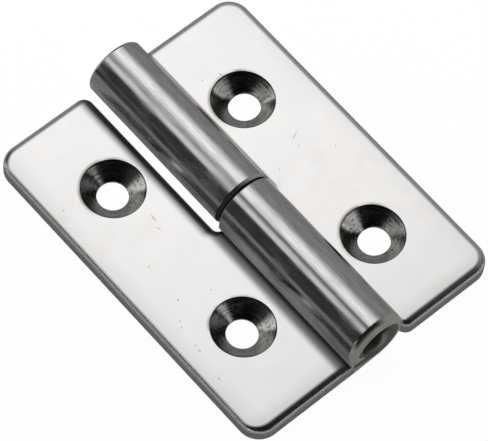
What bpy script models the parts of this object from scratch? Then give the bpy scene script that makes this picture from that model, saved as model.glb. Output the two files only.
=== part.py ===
"""Lift-off hinge of polished stainless sheet.

Each leaf is a flat blank with countersunk screw holes, whose tongue is rolled into a
knuckle. The pin is held in the fixed leaf's knuckle, a thin washer lies between the two
knuckles, and the lift leaf turns on the pin and comes off along it.

Metres, +Z up, +Y along the pin towards its free end. The origin lies on the mounting
plane, below the middle of the pin. The hinge lies open and flat on its mounting faces.
"""

import math
from dataclasses import dataclass, replace

import bmesh
import bpy
from mathutils import Vector

# Sheet, leaf and knuckle
SHEET = 0.0022
LEAF_LENGTH = 0.05106
FIXED_LEAF_REACH = 0.01988
LIFT_LEAF_REACH = 0.0201
CORNER_RADIUS = 0.0030
SLOT_CORNER_RADIUS = 0.0014
SLOT_CLEARANCE = 0.00047
SLOT_RELIEF = 0.0003
SLOT_FILLET = 0.0009
ROLL_ANGLE = math.radians(268.0)
SEAM_GAP = 0.0001
FIXED_LEAF_RISE = 0.00002
LIFT_LEAF_DROP = 0.00015
LIFT_KNUCKLE_OVERHANG = 0.00011
JOINT_OFFSET = 0.00018

# Rounded edges: how far each reaches in from the side, and how deep
FRONT_EDGE_REACH = 0.0012
FRONT_EDGE_DEPTH = 0.0008
BACK_EDGE_ROUND = 0.00015
CUT_END_ROUND = 0.0001
CUT_END_CORNER = 0.0003
CUT_END_FADE = 0.0015
RIM_BEND = 0.25

# Screw holes
HOLE_RADIUS = 0.00208
HOLE_SPACING = 0.0252
COUNTERSINK_RADIUS = 0.00424
COUNTERSINK_HALF_ANGLE = math.radians(48.0)

# Pin, bore and washer
PIN_RADIUS = 0.0019
RUNNING_CLEARANCE = 0.0001
PRESS_CLEARANCE = 0.00005
PIN_RECESS = 0.0020
PIN_SHORTFALL = 0.0021
PIN_STEP_INSET = 0.0004
PIN_END_CHAMFER = 0.0003
PIN_NOSE_LENGTH = 0.0012
PIN_NOSE_DEPTH = 0.0006
MOUTH_RADIUS = 0.0033
WASHER_THICKNESS = 0.00035
WASHER_INSET = 0.0002
FACE_CLEARANCE = 0.00005

# Facets
ROLL_STEPS = 48
CORNER_STEPS = 6
BLEND_STEPS = 4
BACK_ROUND_STEPS = 4
FRONT_ROUND_STEPS = 4
ROUND_SEGMENTS = 48
CUTTER_SPARE = 0.0005

# Derived sizes
BORE_RADIUS = PIN_RADIUS + RUNNING_CLEARANCE
KNUCKLE_RADIUS = BORE_RADIUS + SHEET
NEUTRAL_RADIUS = KNUCKLE_RADIUS - SHEET / 2
KNUCKLE_GAP = WASHER_THICKNESS + 2 * FACE_CLEARANCE
SLOT_EDGE = KNUCKLE_RADIUS + SLOT_CLEARANCE
CREASE = math.sqrt(KNUCKLE_RADIUS**2 - BORE_RADIUS**2)
CUT_END_DROP = KNUCKLE_RADIUS - SHEET - SEAM_GAP - BORE_RADIUS * math.cos(ROLL_ANGLE)
CUT_END_LENGTH = -CUT_END_DROP / math.sin(ROLL_ANGLE)
TONGUE_LENGTH = NEUTRAL_RADIUS * ROLL_ANGLE + CUT_END_LENGTH
MOUTH_DEPTH = MOUTH_RADIUS - BORE_RADIUS


@dataclass(frozen=True)
class Rim:
    """Rounding of a knuckle's outer rim: along the pin, and in from the surface."""

    along: float
    depth: float


@dataclass(frozen=True)
class Leaf:
    """One leaf in its own frame: plate towards -X, knuckle towards -Y of its inner end."""

    name: str
    reach: float
    side_round: float
    middle: float
    inner_end: float
    outer_end: float
    hole_line: float
    hole_shift: float
    drill_offset: tuple
    outer_rim: Rim
    inner_rim: Rim
    turned: bool


@dataclass(frozen=True)
class EdgePoint:
    """A point of the blank's outline, its outward normal and its two roundings."""

    x: float
    y: float
    normal: tuple
    front: tuple
    back: tuple


# The knuckles' inner ends lie either side of the washer. A turned leaf sees the joint
# from the other side, so its places along the pin change sign.
FIXED = Leaf(
    name="fixed_leaf",
    reach=FIXED_LEAF_REACH,
    side_round=0.0006,
    middle=FIXED_LEAF_RISE,
    inner_end=JOINT_OFFSET - KNUCKLE_GAP / 2,
    outer_end=LEAF_LENGTH / 2,
    hole_line=0.0109,
    hole_shift=0.00003,
    drill_offset=(0.0, 0.0),
    outer_rim=Rim(along=0.00115, depth=0.0005),
    inner_rim=Rim(along=0.00015, depth=0.00015),
    turned=False,
)
LIFT = Leaf(
    name="lift_leaf",
    reach=LIFT_LEAF_REACH,
    side_round=0.0011,
    middle=LIFT_LEAF_DROP,
    inner_end=-(JOINT_OFFSET + KNUCKLE_GAP / 2),
    outer_end=LEAF_LENGTH / 2 + LIFT_KNUCKLE_OVERHANG,
    hole_line=0.0105,
    hole_shift=0.0003,
    drill_offset=(-0.0003, 0.00024),
    outer_rim=Rim(along=0.0003, depth=0.0002),
    inner_rim=Rim(along=0.0003, depth=0.0002),
    turned=True,
)


def clear_scene():
    """Remove every object that the scene starts with."""
    for obj in list(bpy.data.objects):
        bpy.data.objects.remove(obj, do_unlink=True)


def metal(name, colour, roughness, metallic=1.0):
    """Make a plain Principled material."""
    material = bpy.data.materials.new(name)
    material.use_nodes = True
    shader = material.node_tree.nodes["Principled BSDF"]
    shader.inputs["Base Color"].default_value = (*colour, 1.0)
    shader.inputs["Roughness"].default_value = roughness
    shader.inputs["Metallic"].default_value = metallic
    return material


def add_object(name, bm, material=None, parent=None):
    """Turn a bmesh into a smooth-shaded object with sharp creases."""
    bmesh.ops.recalc_face_normals(bm, faces=bm.faces)
    mesh = bpy.data.meshes.new(name)
    bm.to_mesh(mesh)
    bm.free()
    mesh.shade_smooth()
    mesh.set_sharp_from_angle(angle=math.radians(30.0))
    obj = bpy.data.objects.new(name, mesh)
    bpy.context.scene.collection.objects.link(obj)
    if material is not None:
        mesh.materials.append(material)
    obj.parent = parent
    return obj


def turned_mesh(profile, along_y):
    """Revolve (radius, place) pairs that start and end on the axis."""
    bm = bmesh.new()
    rings = []
    for radius, place in profile:
        if radius == 0.0:
            rings.append([bm.verts.new((0, place, 0) if along_y else (0, 0, place))])
            continue
        ring = []
        for step in range(ROUND_SEGMENTS):
            angle = 2 * math.pi * step / ROUND_SEGMENTS
            across, up = radius * math.cos(angle), radius * math.sin(angle)
            ring.append(bm.verts.new((across, place, up) if along_y else (across, up, place)))
        rings.append(ring)
    for low, high in zip(rings, rings[1:]):
        for step in range(ROUND_SEGMENTS):
            after = (step + 1) % ROUND_SEGMENTS
            if len(low) == 1:
                bm.faces.new((low[0], high[step], high[after]))
            elif len(high) == 1:
                bm.faces.new((low[step], low[after], high[0]))
            else:
                bm.faces.new((low[step], low[after], high[after], high[step]))
    return bm


def ring_mesh(inner, outer, low, high):
    """Make a flat ring around the Y axis."""
    bm = bmesh.new()
    section = ((inner, low), (outer, low), (outer, high), (inner, high))
    rings = []
    for radius, place in section:
        ring = []
        for step in range(ROUND_SEGMENTS):
            angle = 2 * math.pi * step / ROUND_SEGMENTS
            ring.append(bm.verts.new((radius * math.cos(angle), place, radius * math.sin(angle))))
        rings.append(ring)
    for low_ring, high_ring in zip(rings, rings[1:] + rings[:1]):
        for step in range(ROUND_SEGMENTS):
            after = (step + 1) % ROUND_SEGMENTS
            bm.faces.new((low_ring[step], low_ring[after], high_ring[after], high_ring[step]))
    return bm


def smooth(share):
    """Ease from 0 to 1 as share goes from 0 to 1."""
    share = min(max(share, 0.0), 1.0)
    return share * share * (3 - 2 * share)


def mix(low, high, share):
    """Mix two values, or two pairs of values."""
    if isinstance(low, tuple):
        return tuple(mix(a, b, share) for a, b in zip(low, high))
    return low + (high - low) * share


def corner(centre, radius, start, steps, front, back, hollow=False):
    """Quarter arc of edge points from angle start; a hollow one bends into the sheet."""
    points = []
    for step in range(steps + 1):
        turn = math.radians(start + 90.0 * step / steps * (-1 if hollow else 1))
        out = (math.cos(turn), math.sin(turn))
        side = -1 if hollow else 1
        place = (centre[0] + radius * out[0], centre[1] + radius * out[1])
        normal = (side * out[0], side * out[1])
        points.append(EdgePoint(*place, normal, front, back))
    return points


def tongue_edge(leaf, outer):
    """Edge points of the tongue from the crease to its cut end, on one side.

    The edge eases from the plate's line and roundings to the knuckle's between the
    crease and the pin axis, then runs straight along the part that is rolled.
    """
    plate_y = leaf.middle - LEAF_LENGTH / 2 if outer else leaf.inner_end - SLOT_RELIEF
    knuckle_y = -leaf.outer_end if outer else leaf.inner_end
    rim = leaf.outer_rim if outer else leaf.inner_rim
    stop = TONGUE_LENGTH - CUT_END_CORNER
    places = [-CREASE * (1 - step / BLEND_STEPS) for step in range(BLEND_STEPS)]
    places += [stop * step / ROLL_STEPS for step in range(ROLL_STEPS + 1)]
    cut_end = (CUT_END_ROUND, CUT_END_ROUND)
    points = []
    for x in places:
        share = smooth(1 + x / CREASE)
        fade = smooth(1 - (stop - x) / CUT_END_FADE)
        front = mix(mix((FRONT_EDGE_REACH, FRONT_EDGE_DEPTH), cut_end, share), cut_end, fade)
        back = mix((BACK_EDGE_ROUND, BACK_EDGE_ROUND), (rim.along, rim.depth), share)
        back = mix(back, cut_end, fade)
        normal = (0.0, -1.0 if outer else 1.0)
        points.append(EdgePoint(x, mix(plate_y, knuckle_y, share), normal, front, back))
    return points


def blank_outline(leaf):
    """Edge points right round the flat blank, and how many lie on the tongue's sides.

    The side away from the pin is rounded less far in, and its corners ease into it.
    """
    front = (FRONT_EDGE_REACH, FRONT_EDGE_DEPTH)
    back = (BACK_EDGE_ROUND, BACK_EDGE_ROUND)
    cut_end = (CUT_END_ROUND, CUT_END_ROUND)
    low, high = leaf.middle - LEAF_LENGTH / 2, leaf.middle + LEAF_LENGTH / 2
    radius, slot_radius = CORNER_RADIUS, SLOT_CORNER_RADIUS
    fillet = min(SLOT_FILLET, SLOT_EDGE - CREASE)
    slot_end = leaf.inner_end - SLOT_RELIEF
    left, right = -leaf.reach, -SLOT_EDGE
    stop = TONGUE_LENGTH - CUT_END_CORNER

    outer_side = tongue_edge(leaf, outer=True)
    inner_side = tongue_edge(leaf, outer=False)[::-1]
    cut_low = (stop, -leaf.outer_end + CUT_END_CORNER)
    cut_high = (stop, leaf.inner_end - CUT_END_CORNER)
    cut_corners = corner(cut_low, CUT_END_CORNER, 270, 2, cut_end, cut_end)[1:]
    cut_corners += corner(cut_high, CUT_END_CORNER, 0, 2, cut_end, cut_end)[:-1]

    points = outer_side + cut_corners + inner_side
    points += corner((right + fillet, slot_end + fillet), fillet, 270, CORNER_STEPS, front, back, True)
    points += corner((right - slot_radius, high - slot_radius), slot_radius, 0, CORNER_STEPS, front, back)
    points += corner((left + radius, high - radius), radius, 90, CORNER_STEPS, front, back)
    points += corner((left + radius, low + radius), radius, 180, CORNER_STEPS, front, back)
    side = (leaf.side_round, FRONT_EDGE_DEPTH)
    points = [replace(p, front=mix(p.front, side, max(-p.normal[0], 0.0) ** 2)) for p in points]
    return points, len(outer_side), len(cut_corners)


def edge_rings(points):
    """Loops of blank points from the back face, up the rounded edge, to the front face.

    The back edge follows a hyperbola, which bends first and then runs straight. The front
    edge is a quarter of an ellipse.
    """
    rings = []
    for step in range(BACK_ROUND_STEPS + 1):
        share = step / BACK_ROUND_STEPS
        rise = (math.hypot(share, RIM_BEND) - RIM_BEND) / (math.hypot(1.0, RIM_BEND) - RIM_BEND)
        rings.append([(p, p.back[0] * (1 - share), p.back[1] * rise) for p in points])
    for step in range(FRONT_ROUND_STEPS + 1):
        turn = math.pi / 2 * step / FRONT_ROUND_STEPS
        inset, drop = 1 - math.cos(turn), 1 - math.sin(turn)
        rings.append([(p, p.front[0] * inset, SHEET - p.front[1] * drop) for p in points])
    loops = []
    for ring in rings:
        loops.append([(p.x - inset * p.normal[0], p.y - inset * p.normal[1], z) for p, inset, z in ring])
    return loops


def rolled(place):
    """Carry a point of the blank onto the rolled leaf, measured from the pin axis.

    Up to the axis the sheet stays flat. Past it, distance along the sheet's middle
    becomes an angle round the pin, and height above the back face runs inwards. The
    sheet's cut end stays straight, past the end of the roll.
    """
    x, y, z = place
    if x <= 0.0:
        return Vector((x, y, z - KNUCKLE_RADIUS))
    angle = min(x / NEUTRAL_RADIUS, ROLL_ANGLE)
    past = x - NEUTRAL_RADIUS * angle
    radius = KNUCKLE_RADIUS - z
    sine, cosine = math.sin(angle), math.cos(angle)
    return Vector((radius * sine + past * cosine, y, past * sine - radius * cosine))


def leaf_mesh(leaf):
    """Build the rolled leaf, before its holes are cut."""
    points, side_count, cut_count = blank_outline(leaf)
    bm = bmesh.new()
    loops = [[bm.verts.new(rolled(place)) for place in loop] for loop in edge_rings(points)]
    count = len(points)
    for low, high in zip(loops, loops[1:]):
        for here in range(count):
            after = (here + 1) % count
            bm.faces.new((low[here], low[after], high[after], high[here]))
    last_inner = 2 * side_count + cut_count - 1
    for loop in (loops[0], loops[-1]):
        for step in range(BLEND_STEPS, side_count - 1):
            near, far = step, last_inner - step
            bm.faces.new((loop[near], loop[near + 1], loop[far - 1], loop[far]))
        bm.faces.new(loop[side_count - 1:side_count + cut_count + 1])
        bm.faces.new(loop[:BLEND_STEPS + 1] + loop[last_inner - BLEND_STEPS:])
    return bm


def cut(obj, cutter):
    """Take a hidden cutter out of an object."""
    cutter.hide_render = True
    cutter.display_type = "WIRE"
    modifier = obj.modifiers.new(cutter.name, "BOOLEAN")
    modifier.operation = "DIFFERENCE"
    modifier.solver = "EXACT"
    modifier.object = cutter


def cut_screw_holes(obj, leaf):
    """Drill and countersink the two screw holes from the front face."""
    slope = math.tan(COUNTERSINK_HALF_ANGLE)
    front = SHEET - KNUCKLE_RADIUS
    back = -KNUCKLE_RADIUS
    drill = [(0.0, back - CUTTER_SPARE), (HOLE_RADIUS, back - CUTTER_SPARE)]
    drill += [(HOLE_RADIUS, front + CUTTER_SPARE), (0.0, front + CUTTER_SPARE)]
    tip = COUNTERSINK_RADIUS / slope
    wide = COUNTERSINK_RADIUS + CUTTER_SPARE * slope
    cone = [(0.0, front - tip), (wide, front + CUTTER_SPARE), (0.0, front + CUTTER_SPARE)]
    for end in (-1, 1):
        place = Vector((-leaf.hole_line, leaf.middle + leaf.hole_shift + end * HOLE_SPACING / 2, 0))
        for kind, profile, offset in (("drill", drill, leaf.drill_offset), ("countersink", cone, (0, 0))):
            name = f"{kind}_{leaf.name}_{'low' if end < 0 else 'high'}"
            cutter = add_object(name, turned_mesh(profile, along_y=False), parent=obj)
            cutter.location = place + Vector((*offset, 0))
            cut(obj, cutter)


def cut_bore_mouth(obj, leaf):
    """Flare the bore where it opens at the knuckle's outer end."""
    outside = -leaf.outer_end - CUTTER_SPARE
    inside = -leaf.outer_end + MOUTH_DEPTH + CUTTER_SPARE
    profile = [(0.0, outside), (MOUTH_RADIUS + CUTTER_SPARE, outside)]
    profile += [(BORE_RADIUS - CUTTER_SPARE, inside), (0.0, inside)]
    cutter = add_object(f"mouth_{leaf.name}", turned_mesh(profile, along_y=True), parent=obj)
    cut(obj, cutter)


def build_leaf(leaf, material, parent=None):
    """Build one leaf with its origin on the pin axis."""
    obj = add_object(leaf.name, leaf_mesh(leaf), material, parent)
    if parent is None:
        obj.location = (0, 0, KNUCKLE_RADIUS)
    if leaf.turned:
        obj.rotation_euler = (0, 0, math.pi)
    cut_screw_holes(obj, leaf)
    cut_bore_mouth(obj, leaf)
    return obj


def build_pin(material, parent):
    """Turn the pin: a held part in the fixed knuckle, and a running part with a nose."""
    held = BORE_RADIUS - PRESS_CLEARANCE
    low = -FIXED.outer_end + PIN_RECESS
    step = FIXED.inner_end - PIN_STEP_INSET
    high = LIFT.outer_end - PIN_SHORTFALL
    profile = [(0.0, low), (held - PIN_END_CHAMFER, low), (held, low + PIN_END_CHAMFER)]
    profile += [(held, step - (held - PIN_RADIUS)), (PIN_RADIUS, step)]
    profile += [(PIN_RADIUS, high - PIN_NOSE_LENGTH)]
    profile += [(PIN_RADIUS - PIN_NOSE_DEPTH, high), (0.0, high)]
    return add_object("pin", turned_mesh(profile, along_y=True), material, parent)


def build_washer(material, parent):
    """Make the washer that keeps the two knuckles apart."""
    low = FIXED.inner_end + FACE_CLEARANCE
    outer = KNUCKLE_RADIUS - WASHER_INSET
    bm = ring_mesh(PIN_RADIUS + RUNNING_CLEARANCE, outer, low, low + WASHER_THICKNESS)
    return add_object("washer", bm, material, parent)


def main():
    """Build the hinge."""
    clear_scene()
    polished = metal("polished_steel", (0.80, 0.79, 0.78), 0.12)
    ground = metal("pin_steel", (0.42, 0.42, 0.43), 0.35)
    dark = metal("washer_black", (0.02, 0.02, 0.022), 0.6, metallic=0.0)

    swing = bpy.data.objects.new("swing_axis", None)
    swing.location = (0, 0, KNUCKLE_RADIUS)
    bpy.context.scene.collection.objects.link(swing)

    fixed = build_leaf(FIXED, polished)
    build_pin(ground, fixed)
    build_washer(dark, swing)
    build_leaf(LIFT, polished, swing)


main()
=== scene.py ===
"""Looks of a lift-off hinge in polished stainless sheet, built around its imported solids.

Each leaf is a flat blank whose tongue is rolled into a knuckle, so its surface is worked out
on the flat blank as grids and then rolled. The pin and the washer are turned profiles.

Metres, +Z up, +Y along the pin towards its free end. The origin lies on the mounting plane,
below the middle of the pin, as in the solids.
"""

import logging
import math
from collections.abc import Callable
from dataclasses import dataclass, field, replace
from enum import Enum
from functools import reduce
from operator import mul

import bmesh
import bpy
import numpy as np
from mathutils import Matrix, Vector


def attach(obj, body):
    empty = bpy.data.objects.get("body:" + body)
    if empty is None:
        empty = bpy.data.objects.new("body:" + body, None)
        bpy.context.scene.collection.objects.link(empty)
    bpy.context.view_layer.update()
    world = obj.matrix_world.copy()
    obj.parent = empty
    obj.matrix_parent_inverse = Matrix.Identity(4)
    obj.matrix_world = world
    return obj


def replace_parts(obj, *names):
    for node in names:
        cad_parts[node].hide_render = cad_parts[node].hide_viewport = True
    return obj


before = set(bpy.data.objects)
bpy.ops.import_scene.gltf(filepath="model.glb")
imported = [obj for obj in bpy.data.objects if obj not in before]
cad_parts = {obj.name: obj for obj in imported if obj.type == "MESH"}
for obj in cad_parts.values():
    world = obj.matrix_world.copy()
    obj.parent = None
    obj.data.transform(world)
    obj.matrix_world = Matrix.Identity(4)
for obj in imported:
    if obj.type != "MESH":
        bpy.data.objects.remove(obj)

Array = np.ndarray
Colour = tuple[float, float, float]
Span = tuple[float, float]
Inputs = dict[str | int, object]
Settings = dict[str, object]
Socket = bpy.types.NodeSocket

LOG = logging.getLogger("hinge")

MILLIMETRES = 1000.0
FLAT_MAP = "flat"
WHITE = (1.0, 1.0, 1.0, 1.0)
STEP = 0.0001
FINE_DETAIL = 4.0
FINE_ROUGHNESS = 0.6

IMAGE_WIDTH = 488
IMAGE_HEIGHT = 441


class Region(Enum):
    """The differently finished regions of a piece."""

    FACE = "polished_face"
    BACK = "mill_back"
    KNUCKLE = "satin_knuckle"
    BORE = "dull_bore"
    EDGE = "sheared_edge"
    RIM = "filed_rim"
    CONE = "turned_countersink"
    PIN = "ground_pin"
    WASHER = "black_washer"


# Shader graphs


def math_operator(operation: str, first: bool = True) -> Callable[..., "Value"]:
    """An operator that applies a Math node, with its own value first or last."""

    def apply(value: "Value", *others: "Value | float") -> "Value":
        """Apply the node to the value and the others."""
        return value.math(operation, *others, first=first)

    return apply


class Value:
    """A number that a shader works out, usable in ordinary sums."""

    def __init__(self, graph: "Graph", socket: Socket) -> None:
        """Wrap one output socket of a graph."""
        self.graph = graph
        self.socket = socket

    def math(self, operation: str, *others: "Value | float", first: bool = True) -> "Value":
        """Apply a Math node.

        Args:
            operation: The Math node's operation.
            others: The other values of the sum.
            first: Whether this value comes before the others.

        Returns:
            The node's result.
        """
        terms = (self, *others) if first else (*others, self)
        inputs = dict(enumerate(terms))
        return self.graph.value("Math", {"operation": operation}, inputs)

    __add__ = math_operator("ADD")
    __radd__ = math_operator("ADD", first=False)
    __sub__ = math_operator("SUBTRACT")
    __rsub__ = math_operator("SUBTRACT", first=False)
    __mul__ = math_operator("MULTIPLY")
    __rmul__ = math_operator("MULTIPLY", first=False)
    __truediv__ = math_operator("DIVIDE")
    __pow__ = math_operator("POWER")
    __abs__ = math_operator("ABSOLUTE")

    def __neg__(self) -> "Value":
        """Same size, other sign."""
        return self * -1.0

    def rise(self, low: float, high: float) -> "Value":
        """Ease from 0 at low to 1 at high. With low above high the ease runs the other way."""
        settings = {"interpolation_type": "SMOOTHSTEP", "clamp": True}
        inputs = {"Value": self, "From Min": low, "From Max": high, "To Min": 0.0, "To Max": 1.0}
        return self.graph.value("MapRange", settings, inputs)

    def is_negative(self) -> "Value":
        """1 below 0 and 0 above it, with a step too narrow to see."""
        return self.rise(STEP, -STEP)


class Graph:
    """The node tree of one material or world."""

    def __init__(self, tree: bpy.types.NodeTree) -> None:
        """Empty the tree and keep it."""
        self.tree = tree
        self.tree.nodes.clear()

    def node(
        self, kind: str, settings: Settings | None = None, inputs: Inputs | None = None
    ) -> bpy.types.Node:
        """Make one node.

        Args:
            kind: The node's type, without the ShaderNode at its start.
            settings: The node's own settings, set first.
            inputs: What each socket holds, by name or number: a value, or what it reads.

        Returns:
            The new node.
        """
        made = self.tree.nodes.new(f"ShaderNode{kind}")
        for name, setting in (settings or {}).items():
            setattr(made, name, setting)
        for name, held in (inputs or {}).items():
            socket = made.inputs[name]
            if isinstance(held, Value):
                self.tree.links.new(held.socket, socket)
            elif isinstance(held, Socket):
                self.tree.links.new(held, socket)
            else:
                socket.default_value = held
        return made

    def value(self, kind: str, settings: Settings | None = None, inputs: Inputs | None = None) -> Value:
        """Make one node and wrap its first output."""
        return Value(self, self.node(kind, settings, inputs).outputs[0])

    def show(self, shader: bpy.types.Node, output: str = "OutputMaterial") -> None:
        """Make a shader the surface of the material, or of the world."""
        self.node(output, None, {"Surface": shader.outputs[0]})

    def flat(self) -> Socket:
        """The surface's flat coordinates."""
        return self.node("UVMap", {"uv_map": FLAT_MAP}).outputs[0]

    def place(self) -> Socket:
        """The place on the object."""
        return self.node("TexCoord").outputs["Object"]

    def split(self, vector: Socket) -> tuple[Value, Value, Value]:
        """Split a vector into its three parts."""
        parts = self.node("SeparateXYZ", inputs={0: vector}).outputs
        return tuple(Value(self, part) for part in parts)

    def noise(self, place: Socket, scale: float, detail: float = 3.0, roughness: float = 0.5) -> Value:
        """Smooth noise around 0.5."""
        inputs = {"Vector": place, "Scale": scale, "Detail": detail, "Roughness": roughness}
        return self.value("TexNoise", None, inputs)

    def grain(
        self, flat: Socket, across: float, along: float, detail: float = 3.0, roughness: float = 0.5
    ) -> Value:
        """Noise over flat coordinates, with a scale across the grain and one along it."""
        inputs = {"Vector": flat, "Scale": (across, along, 1.0)}
        stretched = self.node("Mapping", None, inputs).outputs[0]
        return self.noise(stretched, 1.0, detail, roughness)

    def blend(self, share: Value, low: object, high: object, kind: str = "MIX") -> Socket:
        """Mix two colours by a share, or in another kind of mix."""
        settings = {"data_type": "RGBA", "blend_type": kind}
        return self.node("Mix", settings, {0: share, 6: low, 7: high}).outputs[2]

    def bump(self, height: Value) -> Socket:
        """Turn a height in millimetres into a normal."""
        inputs = {"Strength": 1.0, "Distance": 1.0 / MILLIMETRES, "Height": height}
        return self.node("Bump", None, inputs).outputs[0]


# Finishes


def new_object(name: str, data: bpy.types.ID) -> bpy.types.Object:
    """Make an object of a mesh or camera, and put it into the scene."""
    made = bpy.data.objects.new(name, data)
    bpy.context.scene.collection.objects.link(made)
    return made


def rgba(colour: Colour, share: Colour | float = 1.0) -> tuple[float, ...]:
    """Give a colour its alpha, with each part times its share."""
    return (*np.multiply(colour, share).tolist(), 1.0)


def new_material(name: str) -> tuple[bpy.types.Material, Graph]:
    """Make a material and empty its graph."""
    material = bpy.data.materials.new(name)
    material.use_nodes = True
    return material, Graph(material.node_tree)


@dataclass(frozen=True)
class Finish:
    """A finish: its colour, its roughness and how metallic it is."""

    region: Region
    colour: Colour
    roughness: float
    metallic: float = 1.0
    specular: float = 0.5

    def paint(self, graph: Graph) -> Inputs:
        """What the shader's sockets hold. Each finish adds its own marks."""
        return {"Base Color": rgba(self.colour), "Roughness": self.roughness}

    def material(self) -> bpy.types.Material:
        """Make the material.

        Returns:
            A material whose shader holds what paint gives.
        """
        material, graph = new_material(self.region.value)
        inputs = {"Metallic": self.metallic, "Specular IOR Level": self.specular, **self.paint(graph)}
        graph.show(graph.node("BsdfPrincipled", None, inputs))
        return material


@dataclass(frozen=True)
class Mark:
    """A small mark in a face: its place, length and width, and the way it runs in degrees."""

    x: float
    y: float
    length: float
    width: float
    turn: float = 0.0
    soft_edge: Span = (1.0, 0.1)

    def shade(self, x: Value, y: Value) -> Value:
        """How deep the mark is: 1 in its middle, 0 outside its ellipse."""
        cosine, sine = math.cos(math.radians(self.turn)), math.sin(math.radians(self.turn))
        along = (cosine * (x - self.x) + sine * (y - self.y)) / self.length
        across = (cosine * (y - self.y) - sine * (x - self.x)) / self.width
        return (along**2.0 + across**2.0).rise(*self.soft_edge)


# Millimetres across and along, length and width, and the turn in degrees
MARKS = tuple(Mark(*(size / MILLIMETRES for size in sizes), turn) for *sizes, turn in (
    (-9.66, 6.22, 0.8, 0.11, 81), (-10.1, 4.65, 0.5, 0.1, 105), (-14.78, -4.57, 0.3, 0.16, 60),
    (-16.54, -6.96, 0.22, 0.12, 60), (-16.95, -7.74, 0.22, 0.14, 30), (-17.2, -10.75, 0.2, 0.14, 0),
    (-17.27, -11.64, 0.28, 0.16, 100), (-17.92, -16.03, 0.24, 0.15, 50), (-14.59, 1.31, 0.2, 0.13, 0),
    (-10.6, -6.1, 0.18, 0.12, 0), (-17.79, 14.19, 0.22, 0.14, 20), (12.18, 3.95, 0.9, 0.09, 25),
    (11.62, 2.52, 0.2, 0.12, 60), (15.3, -0.45, 0.18, 0.11, 30), (7.38, 1.44, 0.18, 0.11, 0),
    (10.71, 16.72, 0.65, 0.12, 110), (8.25, 17.57, 0.16, 0.12, 0),
))


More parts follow.
